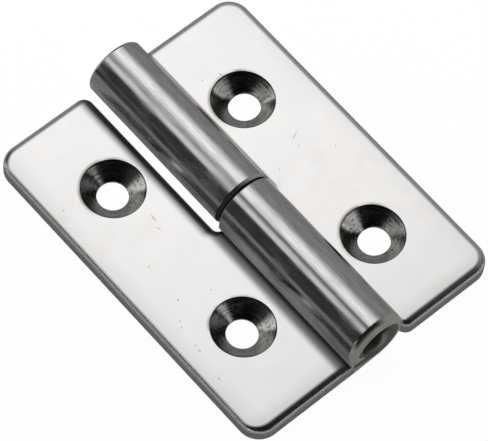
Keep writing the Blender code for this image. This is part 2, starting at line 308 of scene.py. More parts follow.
@dataclass(frozen=True)
class PolishedFace(Finish):
    """Buffed sheet: near-mirror, faintly mottled, and buffed lower towards its edges.

    The sizes are the leaf's, so that the buffed border follows its outline. Where there are
    two hole lines or middles, the fixed leaf's comes first.
    """

    reach: float = 0.0200
    half_length: float = 0.02553
    slot_edge: float = 0.00467
    border: float = 0.0032
    border_fall: float = 9.0

    # Beside the slot and the knuckles the face is rougher and painted near black: painted shade and
    # painted dark reflection of the knuckles, darkest as a painted contact shadow at the foot of the roll.
    slot_dull_shade: Span = (0.0069, 0.0053)
    knuckle_dull_shade: Span = (0.0064, 0.0052)
    lift_dull_shade: Span = (0.0058, 0.0053)
    knuckle_share: float = 0.67
    knuckle_contact_shade: Span = (0.0050, 0.0044)
    dull_foot: float = 0.0006
    painted_shade_strength: float = 0.9
    painted_shade_colour: Colour = (0.05, 0.05, 0.05)
    dull_roughness: float = 0.15

    worn_side: Span = (0.01954, 0.01962)
    worn_colour: Colour = (0.98, 0.98, 0.95)
    worn_roughness: float = 0.25
    worn_cover: float = 0.85

    hole_half_spacing: float = 0.0126
    hole_lines: tuple[float, float] = (0.0109, 0.0105)
    hole_middles: tuple[float, float] = (0.00005, -0.00045)
    countersink_radius: float = 0.00424
    # A brown patchy darkening just outside the far side of each countersink.
    brown_patch_width: float = 0.0007
    brown_patch_lean: float = 0.35
    brown_patch_side: Span = (-0.0010, 0.0030)
    brown_patch_clouds: Span = (0.30, 0.55)
    brown_patch_strength: float = 0.80
    brown_patch_colour: Colour = (0.16, 0.12, 0.06)

    mottle_scale: float = 90.0
    mottle_span: Span = (0.38, 0.62)
    mottle_tint: Colour = (0.95, 0.96, 0.99)
    mottle_roughness: float = 0.05
    cloud_scale: float = 260.0
    cloud_span: Span = (0.42, 0.75)
    cloud_tint: Colour = (0.96, 0.955, 0.95)
    scratch_scale: float = 700.0
    scratch_roughness: float = 0.04
    scratch_height: float = 0.002

    marks: tuple[Mark, ...] = MARKS
    mark_strength: float = 0.50
    mark_colour: Colour = (0.20, 0.19, 0.18)

    def border_drop(self, graph: Graph) -> Value:
        """How far the buffing has lowered the face, in millimetres.

        Within the border, the drop grows with the square of the distance past the border's
        inner line, for each of the plate's free sides.
        """
        x, y = self.flat(graph)
        past_outer = self.border - (x + self.reach)
        past_ends = self.border - (self.half_length - abs(y))
        past_slot = self.border + self.slot_edge + x
        outer, ends, slot = (
            past.math("MAXIMUM", 0.0) ** 2.0 for past in (past_outer, past_ends, past_slot)
        )
        return (outer + ends + slot * self.by_slot(y)) * (self.border_fall * MILLIMETRES)

    def flat(self, graph: Graph) -> tuple[Value, Value]:
        """Places across and along the flat blank."""
        return graph.split(graph.flat())[:2]

    def by_slot(self, y: Value) -> Value:
        """1 beside the slot for the other leaf's knuckle, and 0 beside this leaf's own."""
        return y.rise(-self.dull_foot, self.dull_foot)

    def dullness_and_shade(self, graph: Graph) -> Value:
        """How dull the buffing wheel has left the face where the knuckles were in its way, and how
        much painted shade lies there.

        The fixed leaf is dull and painted dark beside the slot and beside its knuckle, where a
        darker painted contact shadow lies close to the roll. The lift leaf is dull and painted
        dark only beside its knuckle.
        """
        x, y = self.flat(graph)
        inwards = -x
        by_slot = self.by_slot(y)
        at_left = graph.split(graph.place())[0].is_negative()
        # Painted contact shadow at the foot of the roll.
        contact_shade = inwards.rise(*self.knuckle_contact_shade) * (1.0 - self.knuckle_share)
        by_knuckle = inwards.rise(*self.knuckle_dull_shade) * self.knuckle_share + contact_shade
        fixed = by_knuckle * (1.0 - by_slot) + inwards.rise(*self.slot_dull_shade) * by_slot
        return fixed * at_left + inwards.rise(*self.lift_dull_shade) * (1.0 - by_slot) * (1.0 - at_left)

    def brown_patch(self, graph: Graph, cloud: Value) -> Value:
        """How strong the brown patchy darkening is, just outside the far side of each countersink."""
        x, y, _ = graph.split(graph.place())
        at_left = x.is_negative()
        line, middle = (
            lift + (fixed - lift) * at_left for fixed, lift in (self.hole_lines, self.hole_middles)
        )
        across = (abs(x) - line) * x.math("SIGN")
        along = (abs(y - middle) - self.hole_half_spacing) * y.math("SIGN")
        gap = (across**2.0 + along**2.0).math("SQRT") - self.countersink_radius
        side = (along - across * self.brown_patch_lean).rise(*self.brown_patch_side)
        return gap.rise(self.brown_patch_width, 0.0) ** 2.0 * side * cloud.rise(*self.brown_patch_clouds)

    def paint(self, graph: Graph) -> Inputs:
        """Mottled and clouded steel under brown patches, marks, dull strips painted dark as shade, and the
        fixed leaf's worn side.
        """
        place = graph.place()
        x, y, _ = graph.split(place)
        mottle = graph.noise(place, self.mottle_scale)
        cloud = graph.noise(place, self.cloud_scale)
        fine = graph.noise(place, self.scratch_scale, FINE_DETAIL, FINE_ROUGHNESS)
        dull_and_shade = self.dullness_and_shade(graph)
        worn = (-self.flat(graph)[0]).rise(*self.worn_side) * x.is_negative()
        marked = sum(mark.shade(x, y) for mark in self.marks)
        plain = rgba(self.colour)
        tone = graph.blend(mottle.rise(*self.mottle_span), rgba(self.colour, self.mottle_tint), plain)
        for share, over in (
            (cloud.rise(*self.cloud_span), rgba(self.colour, self.cloud_tint)),
            (self.brown_patch(graph, cloud) * self.brown_patch_strength, rgba(self.brown_patch_colour)),
            (marked * self.mark_strength, rgba(self.mark_colour)),
            # Painted shade and painted dark reflection beside the knuckles and the slot.
            (dull_and_shade * self.painted_shade_strength, rgba(self.painted_shade_colour)),
            (worn, rgba(self.worn_colour)),
        ):
            tone = graph.blend(share, tone, over)
        uneven = self.mottle_roughness * (mottle - 0.5) + self.scratch_roughness * (fine - 0.5)
        rougher = self.dull_roughness * dull_and_shade + self.worn_roughness * worn
        return {
            "Base Color": tone,
            "Roughness": self.roughness + uneven + rougher,
            "Metallic": 1.0 - self.worn_cover * worn,
            "Normal": graph.bump(self.scratch_height * fine - self.border_drop(graph)),
        }


@dataclass(frozen=True)
class GrainedSteel(Finish):
    """Steel with fine marks along one way of its flat coordinates."""

    across_scale: float = 9000.0
    along_scale: float = 160.0
    depth: float = 1.5e-6
    streak_across: float = 1800.0
    streak_along: float = 200.0
    streak_tone: float = 0.80
    grain_share: float = 0.6
    grain_span: Span = (0.4, 0.75)
    line_roughness: float = 0.08
    streak_roughness: float = 0.20

    def paint(self, graph: Graph) -> Inputs:
        """Lengthwise grain in the bump, and a little in the tone."""
        flat = graph.flat()
        lines = graph.grain(flat, self.across_scale, self.along_scale, roughness=FINE_ROUGHNESS)
        streaks = graph.grain(flat, self.streak_across, self.streak_along)
        grain = (self.grain_share * lines + self.grain_share * streaks).rise(*self.grain_span)
        tone = graph.blend(grain, rgba(self.colour, self.streak_tone), rgba(self.colour))
        uneven = self.line_roughness * (lines - 0.5) + self.streak_roughness * (streaks - 0.5)
        height = lines * (self.depth * MILLIMETRES) + self.shape(graph, flat)
        return {"Base Color": tone, "Roughness": self.roughness + uneven, "Normal": graph.bump(height)}

    def shape(self, graph: Graph, flat: Socket) -> Value | float:
        """Slow rise of the surface in millimetres. Plain steel has none."""
        return 0.0


@dataclass(frozen=True)
class ShearedEdge(GrainedSteel):
    """A cut edge: grey on its wall, and lighter where it turns over to the face."""

    turn_over: Span = (0.00158, 0.00174)
    turn_over_colour: Colour = (0.95, 0.95, 0.92)

    def paint(self, graph: Graph) -> Inputs:
        """Grained steel, lighter above the wall."""
        painted = super().paint(graph)
        above = graph.split(graph.flat())[0].rise(*self.turn_over)
        return {**painted, "Base Color": graph.blend(above, painted["Base Color"], rgba(self.turn_over_colour))}


@dataclass(frozen=True)
class FiledRim(GrainedSteel):
    """A knuckle's rim, filed to bare grey metal, with painted shade near its outer edge on part of the
    outer chamfer and between the knuckles. It stays dark where the file didn't reach.
    """

    rim_shade_height: Span = (0.00012, 0.00036)
    dark_start: Span = (0.0122, 0.0138)
    dark_end: Span = (0.0172, 0.0160)
    inner_side: Span = (0.0506, 0.0530)
    dark_share: float = 0.05

    def paint(self, graph: Graph) -> Inputs:
        """Light steel, with a painted dark reflection on part of the outer chamfer and painted shade
        between the knuckles.
        """
        painted = super().paint(graph)
        height, along, _ = graph.split(graph.flat())
        # Painted dark reflection on part of the outer chamfer, and painted shade between the knuckles,
        # near the rim's outer edge.
        darker = along.rise(*self.dark_start) * along.rise(*self.dark_end) + along.rise(*self.inner_side)
        unshaded = height.rise(*self.rim_shade_height).math("MAXIMUM", 1.0 - darker)
        dark = rgba(self.colour, self.dark_share)
        return {**painted, "Base Color": graph.blend(unshaded, dark, painted["Base Color"])}


@dataclass(frozen=True)
class TurnedCone(GrainedSteel):
    """A countersink: turning rings, a few chipped spots, and painted shade of a burr at its rim."""

    burr_shade: Span = (0.00408, 0.00419)
    burr_shade_strength: float = 0.8
    chip_scale: float = 2600.0
    chip_span: Span = (0.56, 0.66)
    chip_strength: float = 0.7
    dark_colour: Colour = (0.08, 0.08, 0.08)

    def paint(self, graph: Graph) -> Inputs:
        """Rings as grain, with painted shade at the rim's burr, and dark chips."""
        painted = super().paint(graph)
        # Painted shade of the burr, all round the rim.
        burr_shade = self.burr_shade_strength * graph.split(graph.flat())[0].rise(*self.burr_shade)
        chips = self.chip_strength * graph.noise(graph.place(), self.chip_scale).rise(*self.chip_span)
        dark = burr_shade.math("MAXIMUM", chips)
        return {**painted, "Base Color": graph.blend(dark, painted["Base Color"], rgba(self.dark_colour))}


@dataclass(frozen=True)
class RolledKnuckle(GrainedSteel):
    """Knuckle steel, satin above and raw below. The lower knuckle is rolled a little out of round.

    Angles are measured round the pin from the plate's back. The backs of the plates, which
    lie at negative angles, are the same raw steel, only more even.
    """

    neutral: float = 0.0031
    lean: float = 0.55
    lean_angles: Span = (math.radians(135.0), math.radians(225.0))
    wave_across: float = 800.0
    wave_along: float = 60.0
    wave_detail: float = 2.0
    wave_height: float = 0.012
    raw_start: Span = (math.radians(102.0), math.radians(88.0))
    raw_end: Span = (math.radians(250.0), math.radians(272.0))
    raw_roughness: float = 0.25
    raw_cover: float = 0.85
    raw_dark: Colour = (0.52, 0.54, 0.53)
    raw_light: Colour = (0.98, 1.0, 1.0)
    # A painted dark reflection line along the lower knuckle.
    reflection_line_place: float = math.radians(198.5)
    reflection_line_width: Span = (math.radians(3.6), math.radians(0.8))
    reflection_line_strength: float = 0.6
    reflection_line_colour: Colour = (0.12, 0.12, 0.12)
    patch_across: float = 420.0
    patch_along: float = 110.0
    patch_span: Span = (0.36, 0.60)
    patch_gloss: Span = (0.48, 0.68)
    patch_roughness: float = 0.16
    even_angles: Span = (math.radians(75.0), math.radians(15.0))
    even_share: float = 0.72
    # A painted warm reflection tint on the knuckles' right side.
    reflection_warm_side: Span = (-0.0015, 0.0025)
    reflection_warm_tint: Colour = (1.0, 0.975, 0.93)

    def angle(self, flat: Socket, graph: Graph) -> Value:
        """Angle round the pin, from the plate's back."""
        return graph.split(flat)[0] / self.neutral

    def lower(self, graph: Graph) -> Value:
        """1 on the lower knuckle and 0 on the upper."""
        return graph.split(graph.place())[1].is_negative()

    def shape(self, graph: Graph, flat: Socket) -> Value | float:
        """Rise of the lower knuckle across its top, and long waves on both knuckles."""
        lean = self.angle(flat, graph).rise(*self.lean_angles) * self.lower(graph) * self.lean
        waves = graph.grain(flat, self.wave_across, self.wave_along, self.wave_detail)
        return lean + waves * self.wave_height

    def paint(self, graph: Graph) -> Inputs:
        """Satin, left raw where the polishing belt doesn't reach, with a painted dark reflection line on
        the lower knuckle and a painted warm reflection tint on the right side.
        """
        painted = super().paint(graph)
        flat = graph.flat()
        angle = self.angle(flat, graph)
        raw = angle.rise(*self.raw_start) + angle.rise(*self.raw_end)
        # Painted dark reflection line on the lower knuckle.
        line = abs(angle - self.reflection_line_place).rise(*self.reflection_line_width) * self.lower(graph)
        patches = graph.grain(flat, self.patch_across, self.patch_along)
        # Painted warm reflection tint on the right side.
        right = graph.split(graph.place())[0].rise(*self.reflection_warm_side)
        warm_reflection = graph.blend(right, painted["Base Color"], rgba(self.reflection_warm_tint), "MULTIPLY")
        satin = graph.blend(line * self.reflection_line_strength, warm_reflection, rgba(self.reflection_line_colour))
        contrast = 1.0 - angle.rise(*self.even_angles) * self.even_share
        patched = (patches.rise(*self.patch_span) - 0.5) * contrast + 0.5
        bare = graph.blend(patched, rgba(self.raw_dark), rgba(self.raw_light))
        rougher = self.raw_roughness * raw + self.patch_roughness * patches.rise(*self.patch_gloss)
        return {
            **painted,
            "Base Color": graph.blend(raw, satin, bare),
            "Roughness": painted["Roughness"] + rougher,
            "Metallic": 1.0 - self.raw_cover * raw,
        }


# Surfaces


@dataclass
class Patch:
    """A grid of points (rows, columns, 3) with flat coordinates (rows, columns, 2)."""

    points: Array
    flat: Array
    region: Region


@dataclass
class Shell:
    """A closed surface made of patches that share their borders."""

    name: str
    patches: list[Patch] = field(default_factory=list)
    weld_distance: float = 2.0e-7
    crease_angle: float = math.radians(32.0)

    def add(self, points: Array, flat: Array, region: Region) -> None:
        """Add one grid."""
        self.patches.append(Patch(points, flat, region))

    def build(self, finishes: dict[Region, bpy.types.Material], body: str, slot: str) -> bpy.types.Object:
        """Weld the patches into one mesh and dress it.

        Each cell of a grid becomes one face. Borders that coincide are merged, and the faces
        are turned outwards.

        Args:
            finishes: The material of each region.
            body: The body that the piece rides on.
            slot: Not used.

        Returns:
            The finished object, at the origin.
        """
        corners, faces, regions, start = [], [], [], 0
        for patch in self.patches:
            rows, columns = patch.points.shape[:2]
            index = start + np.arange(rows * columns).reshape(rows, columns)
            cells = np.stack([index[:-1, :-1], index[:-1, 1:], index[1:, 1:], index[1:, :-1]], axis=-1)
            faces.append(cells.reshape(-1, 4))
            regions += [patch.region] * len(faces[-1])
            corners.append(np.concatenate([patch.points, patch.flat], axis=-1).reshape(rows * columns, -1))
            start += rows * columns
        corners, faces = np.concatenate(corners), np.concatenate(faces)
        used = sorted(set(regions), key=lambda region: region.value)

        mesh = bpy.data.meshes.new(self.name)
        mesh.from_pydata(corners[:, :3], [], faces)
        flat_map = mesh.uv_layers.new(name=FLAT_MAP)
        flat_map.data.foreach_set("uv", corners[faces.ravel(), 3:].ravel())
        mesh.polygons.foreach_set("material_index", [used.index(region) for region in regions])
        for region in used:
            mesh.materials.append(finishes[region])
        self._weld(mesh)
        mesh.shade_smooth()
        mesh.set_sharp_from_angle(angle=self.crease_angle)

        piece = new_object(self.name, mesh)
        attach(piece, body)
        LOG.info("%s: %d faces", self.name, len(mesh.polygons))
        return piece

    def _weld(self, mesh: bpy.types.Mesh) -> None:
        """Merge the patches' borders, turn the faces outwards and report any open edge."""
        bm = bmesh.new()
        bm.from_mesh(mesh)
        bmesh.ops.remove_doubles(bm, verts=bm.verts, dist=self.weld_distance)
        bmesh.ops.recalc_face_normals(bm, faces=bm.faces)
        open_edges = sum(1 for edge in bm.edges if len(edge.link_faces) != 2)
        if open_edges:
            LOG.warning("%s: %d open edges", self.name, open_edges)
        bm.to_mesh(mesh)
        bm.free()


def mix(low: Array | float, high: Array | float, share: Array | float) -> Array | float:
    """Straight mix of two values."""
    return low + (high - low) * share


def ease(share: Array) -> Array:
    """Ease from 0 to 1: three times the square less twice the cube."""
    share = np.clip(share, 0.0, 1.0)
    return share * share * (3.0 - 2.0 * share)


def shares(steps: int) -> Array:
    """Even steps from 0 to 1, as a column."""
    return np.linspace(0.0, 1.0, steps + 1)[:, None]


def arc_angles(start: float, sweep: float, steps: int) -> Array:
    """Angles in radians from a start through a sweep, both in degrees."""
    return np.radians(start + sweep * np.arange(steps + 1) / steps)


@dataclass(frozen=True)
class Rounding:
    """A rounded edge: how far it reaches in from the side, and how deep."""

    reach: float
    depth: float

    def pair(self) -> Array:
        """Reach and depth as an array."""
        return np.array([self.reach, self.depth])


OUTLINE_PARTS = ("place", "normal", "front", "back")


@dataclass
class Outline:
    """Stations round the flat blank, anticlockwise.

    Each holds its place, its outward normal, and the reach and depth of its front and back
    roundings, all as (stations, 2) arrays.
    """

    place: Array
    normal: Array
    front: Array
    back: Array

    @staticmethod
    def chain(runs: list["Outline"]) -> "Outline":
        """Join runs end to end."""
        return Outline(*(
            np.concatenate([getattr(run, name) for run in runs]) for name in OUTLINE_PARTS
        ))

    @staticmethod
    def run(place: Array, normal: Array, front: Array, back: Array) -> "Outline":
        """A run of stations whose normal and roundings may be one value for all."""
        shape = place.shape
        return Outline(place, *(np.broadcast_to(part, shape) for part in (normal, front, back)))

    def part(self, chosen: slice) -> "Outline":
        """Some of the stations, or all of them the other way round."""
        return Outline(*(getattr(self, name)[chosen] for name in OUTLINE_PARTS))

    def loop(self, reach: Array, height: Array | float) -> Array:
        """Points at a reach in from the side and a height above the back face."""
        inner = self.place - self.normal * np.asarray(reach)[..., None]
        height = np.broadcast_to(height, inner.shape[:-1])
        return np.concatenate([inner, height[..., None]], axis=-1)


@dataclass(frozen=True)
class Leaf:
    """One leaf: plate towards -X, tongue rolled round the pin, knuckle towards -Y.

    The blank is worked out flat, with x across from the pin axis, y along the pin and z up
    from the back face. A turned leaf is the same thing half a turn round Z.
    """

    name: str
    body: str
    reach: float
    side_round: float
    slot_round: float
    middle: float
    inner_end: float
    outer_end: float
    hole_line: float
    hole_shift: float
    drill_offset: tuple[float, float]
    outer_rim: Rounding
    inner_rim: Rounding
    inner_region: Region
    turned: bool

    sheet: float = 0.0022
    length: float = 0.05106
    corner_radius: float = 0.0030
    slot_corner_radius: float = 0.0014
    bore_radius: float = 0.0020
    slot_clearance: float = 0.00047
    slot_relief: float = 0.0003
    slot_fillet: float = 0.0009
    roll_angle: float = math.radians(268.0)
    seam_gap: float = 0.0001
    mouth_radius: float = 0.0033

    front_edge: Rounding = Rounding(0.0012, 0.0008)
    back_edge: Rounding = Rounding(0.00015, 0.00015)
    cut_edge: Rounding = Rounding(0.0001, 0.0001)
    cut_corner: float = 0.0003
    cut_fade: float = 0.0015
    rim_bend: float = 0.25

    hole_radius: float = 0.00208
    hole_spacing: float = 0.0252
    countersink_radius: float = 0.00424
    countersink_half_angle: float = math.radians(48.0)
    rim_round: float = 0.00008

    spacing: float = 0.0004
    support: float = 0.00004
    roll_steps: int = 120
    blend_steps: int = 10
    corner_steps: int = 12
    cut_steps: int = 4
    round_steps: int = 12
    steep_steps: int = 5
    bend_steps: int = 3
    along_steps: int = 40
    least_steps: int = 2
    ring_steps: int = 8
    ring_collar: float = 0.006
    ring_start: float = 0.15
    rim_steps: int = 4
    cone_steps: int = 10
    wall_steps: int = 2

    @property
    def radius(self) -> float:
        """Outer radius of the knuckle."""
        return self.bore_radius + self.sheet

    @property
    def neutral(self) -> float:
        """Radius of the sheet's middle in the roll."""
        return self.radius - self.sheet / 2

    @property
    def crease(self) -> float:
        """Where the roll leaves the plate's front face, across from the pin axis."""
        return math.sqrt(self.radius**2 - self.bore_radius**2)

    @property
    def tongue(self) -> float:
        """Length of the tongue along the sheet's middle: the roll and the straight cut end."""
        drop = self.radius - self.sheet - self.seam_gap - self.bore_radius * math.cos(self.roll_angle)
        return self.neutral * self.roll_angle - drop / math.sin(self.roll_angle)

    @property
    def slot_edge(self) -> float:
        """Where the plate stops beside the other leaf's knuckle."""
        return self.radius + self.slot_clearance

    @property
    def slot_end(self) -> float:
        """Where the recess for the other leaf's knuckle ends, along the pin."""
        return self.inner_end - self.slot_relief

    def placed(self, points: Array) -> Array:
        """Roll the blank and set the leaf in its place.

        Up to the pin axis the sheet stays flat. Past it, distance along the sheet's middle
        becomes an angle round the pin, and height above the back face runs inwards. Past the
        end of the roll the sheet runs on straight.

        Args:
            points: Points of the flat blank, with a last axis of 3.

        Returns:
            The points in the hinge's frame.
        """
        x, y, z = points[..., 0], points[..., 1], points[..., 2]
        angle = np.clip(x / self.neutral, 0.0, self.roll_angle)
        past = x - self.neutral * angle
        inner = self.radius - z
        across = np.where(x > 0.0, inner * np.sin(angle) + past * np.cos(angle), x)
        up = np.where(x > 0.0, self.radius - inner * np.cos(angle) + past * np.sin(angle), z)
        side = -1.0 if self.turned else 1.0
        return np.stack([side * across, side * y, up], axis=-1)

    def straight(self, start: tuple, end: tuple, normal: tuple) -> Outline:
        """Stations along a straight plate edge, without its two ends."""
        count = max(self.least_steps, round(math.dist(start, end) / self.spacing))
        share = np.arange(1, count)[:, None] / count
        place = mix(np.array(start), np.array(end), share)
        return Outline.run(place, np.array(normal), self.front_edge.pair(), self.back_edge.pair())

    def corner(
        self, centre: tuple, radius: float, start: float, hollow: bool = False, cut: bool = False
    ) -> Outline:
        """Stations round a quarter turn, with both ends.

        Args:
            centre: The turn's centre.
            radius: Its radius.
            start: Its first angle in degrees.
            hollow: Whether it turns the other way, as in a fillet.
            cut: Whether it belongs to the tongue's cut end, and not to the plate.

        Returns:
            The stations.
        """
        side = -1.0 if hollow else 1.0
        angle = arc_angles(start, side * 90.0, self.cut_steps if cut else self.corner_steps)
        out = np.stack([np.cos(angle), np.sin(angle)], axis=-1)
        front, back = (self.cut_edge, self.cut_edge) if cut else (self.front_edge, self.back_edge)
        return Outline.run(np.array(centre) + radius * out, side * out, front.pair(), back.pair())

    def tongue_side(self, outer: bool) -> Outline:
        """Stations along one side of the tongue, from the crease to the cut end.

        Between the crease and the pin axis the place and the roundings ease from the plate's
        to the knuckle's, and they ease again to the cut end's.
        """
        stop = self.tongue - self.cut_corner
        x = np.concatenate([
            -self.crease * (1.0 - np.arange(self.blend_steps) / self.blend_steps),
            stop * np.arange(self.roll_steps + 1) / self.roll_steps,
        ])
        share = ease(1.0 + x / self.crease)[:, None]
        fade = ease(1.0 - (stop - x) / self.cut_fade)[:, None]
        plate_y = self.middle - self.length / 2 if outer else self.slot_end
        knuckle_y = -self.outer_end if outer else self.inner_end
        rim = self.outer_rim if outer else self.inner_rim
        flare = self.mouth_radius - self.bore_radius
        mouth = Rounding(flare, flare) if outer else self.cut_edge
        front = mix(mix(self.front_edge.pair(), mouth.pair(), share), self.cut_edge.pair(), fade)
        back = mix(mix(self.back_edge.pair(), rim.pair(), share), self.cut_edge.pair(), fade)
        place = np.concatenate([x[:, None], mix(plate_y, knuckle_y, share)], axis=-1)
        return Outline.run(place, np.array([0.0, -1.0 if outer else 1.0]), front, back)

    def outline(self) -> tuple[Outline, dict[str, int]]:
        """The whole outline, and where its named stations are.

        The front rounding reaches in by its own measure on the side away from the pin and on
        the side by the slot, and the corners ease from one reach to the other.
        """
        low, high = self.middle - self.length / 2, self.middle + self.length / 2
        left, right = -self.reach, -self.slot_edge
        radius, slot_radius, fillet = self.corner_radius, self.slot_corner_radius, self.slot_fillet
        cut = self.cut_corner
        stop = self.tongue - cut

        side = self.tongue_side(outer=True)
        inner = self.tongue_side(outer=False).part(slice(None, None, -1))
        cut_low = self.corner((stop, -self.outer_end + cut), cut, 270.0, cut=True)
        cut_high = self.corner((stop, self.inner_end - cut), cut, 0.0, cut=True)
        share = np.arange(1, self.along_steps)[:, None] / self.along_steps
        cut_place = mix(cut_low.place[-1], cut_high.place[0], share)
        cut_edge = self.cut_edge.pair()
        cut_end = Outline.run(cut_place, np.array([1.0, 0.0]), cut_edge, cut_edge)

        fillet_start = (right + fillet, self.slot_end)
        fillet_end = (right, self.slot_end + fillet)
        runs = {
            "tongue": Outline.chain([
                side, cut_low.part(slice(1, None)), cut_end, cut_high.part(slice(0, -1)), inner,
            ]),
            "slot end": self.straight((-self.crease, self.slot_end), fillet_start, (0.0, 1.0)),
            "fillet": self.corner((right + fillet, self.slot_end + fillet), fillet, 270.0, hollow=True),
            "slot edge": self.straight(fillet_end, (right, high - slot_radius), (1.0, 0.0)),
            "high right": self.corner((right - slot_radius, high - slot_radius), slot_radius, 0.0),
            "high edge": self.straight((right - slot_radius, high), (left + radius, high), (0.0, 1.0)),
            "high left": self.corner((left + radius, high - radius), radius, 90.0),
            "outer edge above": self.straight((left, high - radius), (left, fillet_end[1]), (-1.0, 0.0)),
            "divide": Outline.run(np.array([[left, fillet_end[1]]]), np.array([-1.0, 0.0]),
                                  self.front_edge.pair(), self.back_edge.pair()),
            "outer edge below": self.straight((left, fillet_end[1]), (left, low + radius), (-1.0, 0.0)),
            "low left": self.corner((left + radius, low + radius), radius, 180.0),
            "low edge": self.straight((left + radius, low), (-self.crease, low), (0.0, -1.0)),
        }
        starts, total = {}, 0
        for name, run in runs.items():
            starts[name] = total
            total += len(run.place)
        starts["tongue end"] = starts["slot end"] - 1
        starts["fillet end"] = starts["slot edge"] - 1
        starts["cut end"] = len(side.place) + self.cut_steps
        starts["inner side"] = starts["cut end"] + len(cut_end.place)
        whole = Outline.chain(list(runs.values()))
        for way, reach in ((-1.0, self.side_round), (1.0, self.slot_round)):
            share = np.maximum(way * whole.normal[:, :1], 0.0) ** 2
            share[: starts["slot end"]] = 0.0
            whole.front = mix(whole.front, np.array([reach, self.front_edge.depth]), share)
        return whole, starts

    def shell(self) -> Shell:
        """Work out the whole surface of the leaf."""
        shell = Shell(self.name)
        outline, at = self.outline()
        self.add_edges(shell, outline, at)
        front = outline.loop(outline.front[:, 0] + self.support, self.sheet)
        back = outline.loop(outline.back[:, 0] + self.support, 0.0)
        self.add_tongue(shell, front, at, Region.BORE)
        self.add_tongue(shell, back, at, Region.KNUCKLE)
        self.add_plate(shell, front, back, at)
        return shell

    def add_edges(self, shell: Shell, outline: Outline, at: dict[str, int]) -> None:
        """Carry the edge's profile round the outline.

        The profile runs from the back face round the back rounding, up the wall and round
        the front rounding to the front face. The front rounding is a quarter of an ellipse,
        and the back one a hyperbola, which bends first and then runs straight. The wall has
        a row close to each of its ends, or at its thirds where it is low.
        """
        turn = math.pi / 2 * shares(self.round_steps)
        back_reach, back_depth = outline.back.T
        front_reach, front_depth = outline.front.T
        ones = np.ones((1, len(back_reach)))
        share = shares(self.round_steps)
        bend = np.hypot(share, self.rim_bend) - self.rim_bend
        bend = bend / bend[-1]
        back_rows = (
            np.vstack([back_reach + self.support * ones, back_reach * (1 - share)]),
            np.vstack([0.0 * ones, back_depth * bend]),
        )
        low, high = back_depth * ones, (self.sheet - front_depth) * ones
        rise = np.minimum(self.support, (high - low) / 3)
        wall_rows = (0.0 * np.vstack([ones] * 4), np.vstack([low, low + rise, high - rise, high]))
        front_rows = (
            np.vstack([front_reach * (1 - np.cos(turn)), front_reach + self.support * ones]),
            np.vstack([self.sheet - front_depth * (1 - np.sin(turn)), self.sheet * ones]),
        )
        closed = np.append(np.arange(len(back_reach)), 0)
        outer_side = closed[: at["inner side"] + 1]
        inner_side = closed[at["inner side"]: at["tongue end"] + 1]
        plate = closed[at["tongue end"]:]
        steps = np.linalg.norm(np.diff(outline.place[closed], axis=0), axis=1)
        along = np.insert(np.cumsum(steps), 0, 0.0)
        steep = [rows[: self.steep_steps + 1] for rows in front_rows]
        soft = [rows[self.steep_steps:] for rows in front_rows]
        bent = [rows[: self.bend_steps + 1] for rows in back_rows]
        straight = [rows[self.bend_steps:] for rows in back_rows]
        for (reach, height), on_plate, on_outer, on_inner in (
            (bent, Region.EDGE, Region.KNUCKLE, Region.KNUCKLE),
            (straight, Region.EDGE, Region.RIM, self.inner_region),
            (wall_rows, Region.EDGE, Region.RIM, self.inner_region),
            (steep, Region.EDGE, Region.BORE, Region.BORE),
            (soft, Region.FACE, Region.BORE, Region.BORE),
        ):
            points = outline.loop(reach, height)
            sides = (
                (outer_side, 0, on_outer),
                (inner_side, at["inner side"], on_inner),
                (plate, at["tongue end"], on_plate),
            )
            for columns, start, region in sides:
                grid = points[:, columns]
                if region in (Region.FACE, Region.KNUCKLE):
                    flat = grid[..., :2] - (0.0, self.middle)
                else:
                    lengths = along[start: start + len(columns)]
                    flat = np.stack(np.broadcast_arrays(grid[..., 2], lengths), axis=-1)
                shell.add(self.placed(grid), flat, region)

    def add_tongue(self, shell: Shell, loop: Array, at: dict[str, int], region: Region) -> None:
        """Lay straight rows between the tongue's two sides."""
        low, high = loop[: at["cut end"]], loop[at["tongue end"]: at["inner side"] - 1: -1]
        grid = mix(low, high, shares(self.along_steps)[..., None])
        shell.add(self.placed(grid), grid[..., :2], region)

    def add_plate(self, shell: Shell, front: Array, back: Array, at: dict[str, int]) -> None:
        """Fill the plate's faces round the two screw holes, and line the holes.

        A line across the plate divides each face into two fields, one round each hole.
        """
        share = shares(self.along_steps)
        slot, outer = at["fillet end"], at["divide"]
        borders = []
        for loop in (front, back):
            divide = mix(loop[slot], loop[outer], share)
            crease = mix(loop[0], loop[at["tongue end"]], share)
            upper = np.concatenate([loop[slot: outer + 1], divide[-2::-1]])
            lower = np.concatenate([loop[outer:], crease, loop[at["slot end"]: slot + 1], divide[1:]])
            borders.append((lower, upper))
        for end, side in enumerate((-1.0, 1.0)):
            centre = (-self.hole_line, self.middle + self.hole_shift + side * self.hole_spacing / 2)
            self.add_hole(shell, borders[0][end], borders[1][end], np.array(centre))

    def add_hole(self, shell: Shell, front: Array, back: Array, centre: Array) -> None:
        """Rings from a field's border in to a screw hole, on both faces, and the hole itself.

        Each border point sets one direction from the countersink's axis. In that direction
        the rim is rounded, the cone runs in to where the drilled hole cuts it, and the
        drilled wall drops to the back face. The cone's height is its distance in from the
        rim over the tangent of its half angle.
        """
        direction = front[:, :2] - centre
        direction = direction / np.linalg.norm(direction, axis=1, keepdims=True)
        slope = math.tan(self.countersink_half_angle)
        turn = math.pi / 2 - self.countersink_half_angle
        tangent = self.rim_round * math.tan(turn / 2)
        shift = np.array(self.drill_offset)
        offset = direction @ shift
        drilled = offset + np.sqrt(self.hole_radius**2 - shift @ shift + offset**2)
        through = self.countersink_radius - self.sheet * slope
        edge = np.maximum(drilled, through)

